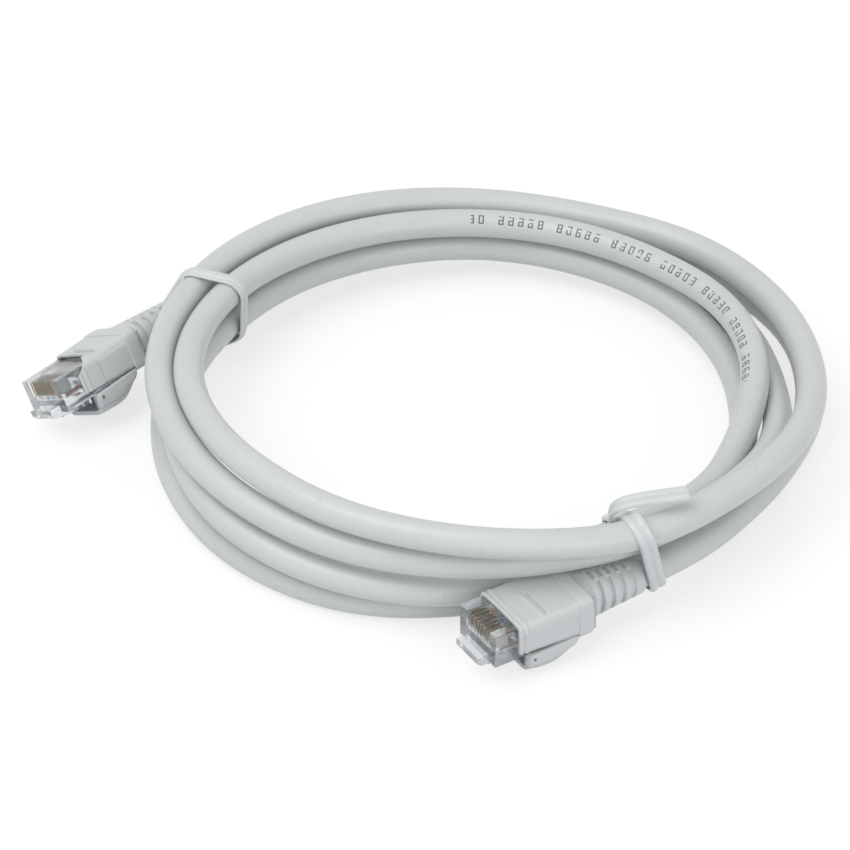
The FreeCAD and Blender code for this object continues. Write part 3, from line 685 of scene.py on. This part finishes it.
def make_torn_front(plug):
    """Front of the boot where its top is torn back. The near wall follows the shroud's section, from
    a free edge that climbs the side and then crosses the top towards the back; on the far side a
    low wall's edge rises in a quarter wave."""
    count, columns, few = 60, 48, 12
    y = np.linspace(BOOT_FRONT, WINDOW_BACK + 0.1, count)
    half = SHROUD_WIDTH / 2
    bend = np.radians(np.linspace(90, 0, few))
    corner = np.array([half - SHROUD_CORNER, SHROUD_TOP - SHROUD_CORNER])
    line = np.concatenate([
        np.stack([np.linspace(WINDOW_SIDE, corner[0], few)[:-1], np.full(few - 1, SHROUD_TOP)], -1),
        corner + SHROUD_CORNER * np.stack([np.cos(bend), np.sin(bend)], -1),
        [(half, SHROUD_EDGE)],
    ])
    reach = travelled(line)
    share = np.clip((y - BOOT_FRONT) / (WINDOW_BACK - 1.0 - BOOT_FRONT), 0, 1)
    start = (1 - share ** 1.5) * (reach[-1] - (WINDOW_LOW + 0.6 - SHROUD_EDGE))
    spread = start[:, None] + (reach[-1] - start[:, None]) * np.linspace(0, 1, columns)
    outer = np.stack([np.interp(spread, reach, line[:, 0]), np.interp(spread, reach, line[:, 1])], -1)
    along = unit(np.gradient(outer, axis=1))
    normal = np.stack([-along[..., 1], along[..., 0]], -1)
    inner = outer - TOP_WALL * normal
    outer = outer + normal * shroud_relief(y[:, None], half)[..., None]
    section = np.concatenate([outer, inner[:, ::-1]], 1)
    near = np.stack(np.broadcast_arrays(section[..., 0], y[:, None], section[..., 1]), -1)
    rising = 7.0
    share = np.clip((y - rising) / (y[-1] - rising), 0, 1)
    upper = WINDOW_LOW + (corner[1] - WINDOW_LOW) * (1 - np.cos(share * np.pi / 2))
    height = SHROUD_EDGE + (upper[:, None] - SHROUD_EDGE) * np.linspace(0, 1, 16)[None]
    outside = np.stack(np.broadcast_arrays(-half, y[:, None], height), -1)
    far = np.concatenate([outside, outside[:, ::-1] + (SIDE_WALL, 0, 0)], 1)
    return [trough(plug, "_boot_near_wall", tapered(near)), trough(plug, "_boot_far_wall", tapered(far))]


def relief_depth(y, angle, radius):
    """Depth of the strain relief's slots: four on each side, which go most of the way down to the
    bore, and five small ones on top. They are bounded by the angle down from the top."""
    down = np.abs(np.angle(np.exp(1j * (angle - np.pi / 2))))
    side = step(down, 0.42, 2.5, 0.06)
    top = step(down, -1.0, 0.3, 0.06)
    depth = np.zeros(np.broadcast(y, angle).shape)
    for index in range(4):
        front = RELIEF_FRONT + 1.0 + 2.4 * index
        depth = depth + side * step(y, front + 0.1, front + 1.0, 0.16) * (radius - SLOT_FLOOR) * 0.7
    for index in range(5):
        front = RELIEF_FRONT + 0.7 + 1.75 * index
        depth = depth + top * step(y, front, front + 0.75, 0.14) * 0.4
    return depth


def make_boot_back(plug):
    """Collar, chamfer and strain relief: one superellipse after another along the cable's axis,
    its exponent falling from 9 at the collar to 2 at the relief, then back through the bore. Each
    place is (distance behind the front, half width, half height, exponent)."""
    relief = np.linspace(RELIEF_FRONT, RELIEF_BACK - 0.25, 150)
    relief = np.unique(np.append(relief, RELIEF_FRONT + 0.05))
    places = np.array([
        (COLLAR_FRONT, 6.6, 3.88, 9), (COLLAR_FRONT, 6.75, 3.98, 9),
        (COLLAR_FRONT + 0.12, 6.86, 4.07, 9), (COLLAR_FRONT + 0.3, 6.89, 4.1, 9),
        (COLLAR_BACK - 0.5, 6.89, 4.1, 9), (COLLAR_BACK - 0.1, 6.8, 4.06, 8),
        (COLLAR_BACK + 0.15, 6.6, 4.0, 7), (21.2, 5.75, 4.06, 4.6),
        (21.9, 5.0, 4.26, 3.0), (22.35, 4.6, 4.42, 2.3),
    ])
    down = 4.5 - 0.9 * (relief - RELIEF_FRONT) / (RELIEF_BACK - RELIEF_FRONT)
    outer = np.vstack([places, np.stack([relief, down, down, np.full_like(down, 2)], -1)])
    bore = np.array([
        (RELIEF_BACK - 0.06, 3.5, 3.5, 2), (RELIEF_BACK, 3.3, 3.3, 2),
        (RELIEF_BACK, BORE, BORE, 2), (21.8, BORE, BORE, 2),
        (21.6, 5.0, 3.2, 6), (20.6, 5.9, 3.4, 8), (COLLAR_FRONT, 5.94, 3.4, 12),
    ])
    rows = np.vstack([outer, bore])
    columns = 128
    angle = np.linspace(0, 2 * np.pi, columns, endpoint=False)[None]
    y, a, b, power = (rows[:, k:k + 1] for k in range(4))
    middle = AXIS_HEIGHT + COLLAR_RISE * step(y, 0, 20.6, 0.6)
    depth = relief_depth(y, angle, a)
    depth[:len(places)] = 0
    depth[len(outer):] = 0
    c, s = np.cos(angle), np.sin(angle)
    x = (a - depth) * np.sign(c) * np.abs(c) ** (2 / power)
    z = (b - depth) * np.sign(s) * np.abs(s) ** (2 / power) + middle
    points = np.stack([x, np.broadcast_to(y, x.shape), z], -1)
    faces = quads(len(rows) + 1, columns) % (len(rows) * columns)
    return piece(plug.name + "_boot_relief", plug.place(points), faces, BOOT)


def make_hood(plug):
    """Scoop under the latch: a trough whose floor rises to the collar in a quarter wave. Its sides
    bulge at the floor by a half wave and flare out in proportion to the height above it, to the
    boot's width, while the middle of the floor stays. A small moulding mark stands on its near
    side: a disc with a bevelled face."""
    body = plug.name + "_hood"
    y = np.linspace(HOOD_FRONT, HOOD_BACK, 60)
    t = (y - y[0]) / (y[-1] - y[0])
    rise = 1 - np.cos(np.pi / 2 * np.clip((t - 0.3) / 0.7, 0, 1) ** 1.7)
    floor = -HOOD_DEPTH + (HOOD_DEPTH - HOOD_END_DEPTH) * rise
    width = HOOD_WIDTH + HOOD_BULGE * np.sin(np.pi * t ** 0.8)
    rows = channel(y, width, floor, 0.1 + 0.45 * t, (HOOD_WALL, HOOD_WALL), HOOD_CORNER)
    floor, width = floor[:, None], width[:, None]
    flare = np.clip((rows[..., 2] - floor) / (FLARE_HEIGHT - floor), 0, 1)
    outer = 0.9
    side = np.clip(np.abs(rows[..., 0]) - width + outer, 0, outer) / outer
    rows[..., 0] += np.sign(rows[..., 0]) * side * flare * np.maximum(FLARE_WIDTH - width, 0)
    scoop = trough(plug, "_hood_scoop", rows, body)
    columns = 24
    around = np.linspace(0, 2 * np.pi, columns, endpoint=False)
    profile = [(MARK_RADIUS, 6.6), (MARK_RADIUS, 6.77), (0.26, 6.8)]
    wide, out = np.array(profile).T[..., None]
    y, z = MARK_PLACE
    points = np.stack(np.broadcast_arrays(out, y + wide * np.cos(around), z + wide * np.sin(around)), -1)
    ends = [list(range(columns))[::-1], list(range(2 * columns, 3 * columns))]
    faces = quads(len(profile), columns).tolist() + ends
    mark = piece(body + "_mark", plug.place(points), faces, MARK, body)
    return scoop, mark


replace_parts(make_shroud(FRONT), "front_plug_boot")
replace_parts(make_shroud(LEFT, WINDOW_BACK), "left_plug_boot")
for made in make_torn_front(LEFT):
    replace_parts(made, "left_plug_boot")
for plug in PLUGS:
    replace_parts(make_boot_back(plug), plug.name + "_boot")
    for made in make_hood(plug):
        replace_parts(made, plug.name + "_hood")

# Ties

# Height of the line that the ties lean about, of a tape's lowest edge, and its distance off the jacket
TIE_MIDDLE, TAPE_LOWEST, TAPE_SLACK = 12.0, 0.06, 0.2


def strands_at(angle, lean, offset):
    """Where the cable crosses a leaning plane through the ring's axis: (reach, height) of each
    strand. The plane leans about a level line at the ties' middle height."""
    turn = turned(2, angle) @ turned(0, lean)
    middle = RING + (0, 0, TIE_MIDDLE)
    beside = (cable_path - middle) @ turn[:, 1] - offset
    seen = np.stack([(cable_path - RING) @ outward(angle), cable_path[:, 2]], -1)
    at = np.flatnonzero((beside[:-1] * beside[1:] <= 0) & (seen[:-1, 0] > 0))
    share = beside[at] / (beside[at] - beside[at + 1])
    return seen[at] + share[:, None] * (seen[at + 1] - seen[at])


def tape_section(width, thickness, ribs, rib_width, rib_height):
    """Closed outline of a tape: its outer face with rounded ribs, then its flat inner face."""
    t = np.linspace(-1, 1, 49)
    crown = thickness * (1 - np.abs(t) ** 12) ** 0.5 + 0.02
    for place in ribs:
        rib = 1 - ((t * width / 2 - place) / (rib_width / 2)) ** 2
        crown = crown + rib_height * np.clip(rib, 0, 1) ** 0.5
    across = np.concatenate([t * width / 2, t[::-1] * width / 2])
    return across, np.concatenate([crown, np.zeros_like(t)])


def make_band(name, angle, lean, tape):
    """Tape drawn tight round the strands. In the tie's plane, for every direction, the line passes
    through the point farthest out on any strand; the tape's section is carried along it."""
    centres = np.vstack([strands_at(angle, lean, side * tape[0] / 2) for side in (-1, 0, 1)])
    way = np.linspace(0, 2 * np.pi, 720, endpoint=False)
    out = np.stack([np.cos(way), np.sin(way)], -1)
    line = centres[np.argmax(centres @ out.T, axis=0)] + (CABLE / 2 + TAPE_SLACK) * out
    closed = np.vstack([line, line[:1]])
    reach = travelled(closed)
    even = np.linspace(0, reach[-1], 240, endpoint=False)
    line = np.stack([np.interp(even, reach, closed[:, k]) for k in range(2)], -1)
    along = unit(np.roll(line, -1, axis=0) - np.roll(line, 1, axis=0))
    face = np.stack([along[:, 1], -along[:, 0]], -1)
    flat = turned(2, angle)
    normal = flat @ turned(0, lean)[:, 1]
    leaning = np.array([0, 0, 1]) - math.tan(math.radians(lean)) * flat[:, 1]
    middle = RING + (0, 0, TIE_MIDDLE)

    def lift(spot):
        return middle + spot[:, :1] * flat[:, 0] + np.outer(spot[:, 1] - TIE_MIDDLE, leaning)

    places = lift(line)
    away = lift(line + face) - places
    across, crown = tape_section(*tape)
    points = places[:, None] + crown[:, None] * away[:, None] + across[:, None] * normal
    points[..., 2] = np.maximum(points[..., 2], TAPE_LOWEST)
    count = len(across)
    faces = quads(len(places) + 1, count)[:, ::-1] % (len(places) * count)
    return piece(name, points, faces, TAPE)


def make_strip(name, controls, aside, tape):
    """Loose end of a tape: its section carried along a smooth line, with both ends closed. The
    tape's width stays as near to one direction as the line lets it."""
    line = spline_path(name + "_line", np.array(controls, float), 24)
    heading = unit(np.gradient(line, axis=0))
    wide = unit(aside - (heading @ aside)[:, None] * heading)
    upper = np.cross(heading, wide)
    across, crown = tape_section(*tape)
    points = line[:, None] + crown[:, None] * upper[:, None] + across[:, None] * wide[:, None]
    count = len(across)
    half = count // 2
    i = np.arange(half - 1)
    cap = np.stack([i, i + 1, count - 2 - i, count - 1 - i], -1)
    last = cap[:, ::-1] + (len(line) - 1) * count
    faces = np.vstack([quads(len(line), count)[:, ::-1], cap, last])
    return piece(name, points, faces, TAPE)


# A tape's width and thickness, the places of its ribs, and a rib's width and height
RIGHT_TAPE = (3.3, 0.45, (-0.85, 0.85), 1.4, 0.26)
LEFT_TAPE = (3.0, 0.4, (0.0,), 1.2, 0.3)
LOOSE_END = (
    (33.6, -51.4, 18.5), (33.4, -52.4, 21.6), (34.4, -53.5, 24.2),
    (38.2, -53.4, 25.4), (42.5, -52.9, 25.8), (47.2, -52.3, 26.1),
)
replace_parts(make_band("right_tie_band", 295.3, 19.0, RIGHT_TAPE), "right_twist_tie")
loose_end = make_strip("right_tie_end", LOOSE_END, np.array([0.05, 0.98, 0.17]), RIGHT_TAPE)
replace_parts(loose_end, "right_twist_tie")
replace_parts(make_band("left_tie_band", 160.0, 0.0, LEFT_TAPE), "left_twist_tie")

# Finishes of the CAD's own pieces, and the pieces at the front plug

for plug in PLUGS:
    for name in ("housing", "latch"):
        dress("%s_%s" % (plug.name, name), CLEAR)
    for name in ("wire_guide", "cable_clamp"):
        dress("%s_%s" % (plug.name, name), CLEAR_BAR)
    for index, (colour, (base, stripe)) in enumerate(WIRE_COLOURS.items(), start=1):
        dress("%s_contact_%d" % (plug.name, index), PLATING[plug.name])
        name = "%s_wire_%d_%s" % (plug.name, index, colour)
        dress(name, wire_finish(name, base, stripe, plug))

# Pieces at the front plug, at the cord's free end, gathered in a list
CARRIED = tuple("front_plug_" + kind for kind in ("contact", "wire", "cable", "housing"))
front_pieces = [node for name, node in frame["nodes"].items() if name.startswith(CARRIED)]
front_pieces += [bpy.data.objects[n] for n in ("front_plug_boot_shroud", "front_plug_boot_relief")]
along_plug(LEFT, (RELIEF_BACK,))[0] * MM
cable_path * MM

# Camera, light and floor

AIM = (RING[0] - 11.0, RING[1] - 4.0, 1.0)


def make_camera():
    """Camera at the photograph's angle: a long lens 35.5 degrees above the floor."""
    data = bpy.data.cameras.new("camera")
    data.sensor_width = 36.0
    data.lens = 173.0
    data.clip_start, data.clip_end = 0.05, 20.0
    camera = put("camera", data)
    back, up = 645.6, 460.5
    eye = Vector((AIM[0], AIM[1] - back, AIM[2] + up)) * MM
    camera.location = eye
    camera.rotation_euler = (Vector(AIM) * MM - eye).to_track_quat("-Z", "Y").to_euler()
    bpy.context.scene.camera = camera


def make_lamp(name, size, power, place):
    """Square area lamp that faces the middle of the floor."""
    data = bpy.data.lights.new(name, "AREA")
    data.size = size
    data.energy = power
    lamp = put(name, data)
    lamp.location = place
    lamp.rotation_euler = (-Vector(place)).to_track_quat("-Z", "Y").to_euler()


def make_world():
    """White to the camera, and in what reflects or passes light, softer on the object."""
    world = Finish("world", world=True)
    strength = world.node("ShaderNodeMapRange", {"Value": world.seen(), "To Min": 0.62, "To Max": 1.0})
    world.set(Color=(1.0, 1.0, 1.0), Strength=strength)
    bpy.context.scene.world = world.holder


def make_floor():
    """Pale floor that keeps the object's soft shadow. To the camera, and in what reflects or
    passes light, part of its white is its own light, so that the shadow stays faint."""
    half = 1.6
    corners = [(half * x, half * y, 0) for x, y in ((-1, -1), (1, -1), (1, 1), (-1, 1))]
    mesh = bpy.data.meshes.new("floor")
    mesh.from_pydata(corners, [], [(0, 1, 2, 3)])
    finish = Finish("floor_paper")
    seen = finish.seen()
    finish.set(
        Base_Color=finish.mix(seen, (0.72, 0.73, 0.75), (0.30, 0.30, 0.30)),
        Roughness=0.9,
        Emission_Color=finish.mix(seen, (0.0, 0.0, 0.0), (0.70, 0.70, 0.70)),
        Emission_Strength=1.0,
    )
    mesh.materials.append(finish.holder)
    floor = put("floor", mesh)


make_camera()
make_world()
make_floor()
make_lamp("key", 0.9, 7.0, (-0.5, -0.3, 1.1))
make_lamp("fill", 0.8, 3.2, (0.6, -1.0, 0.45))
bpy.context.scene.view_settings.view_transform = "Standard"
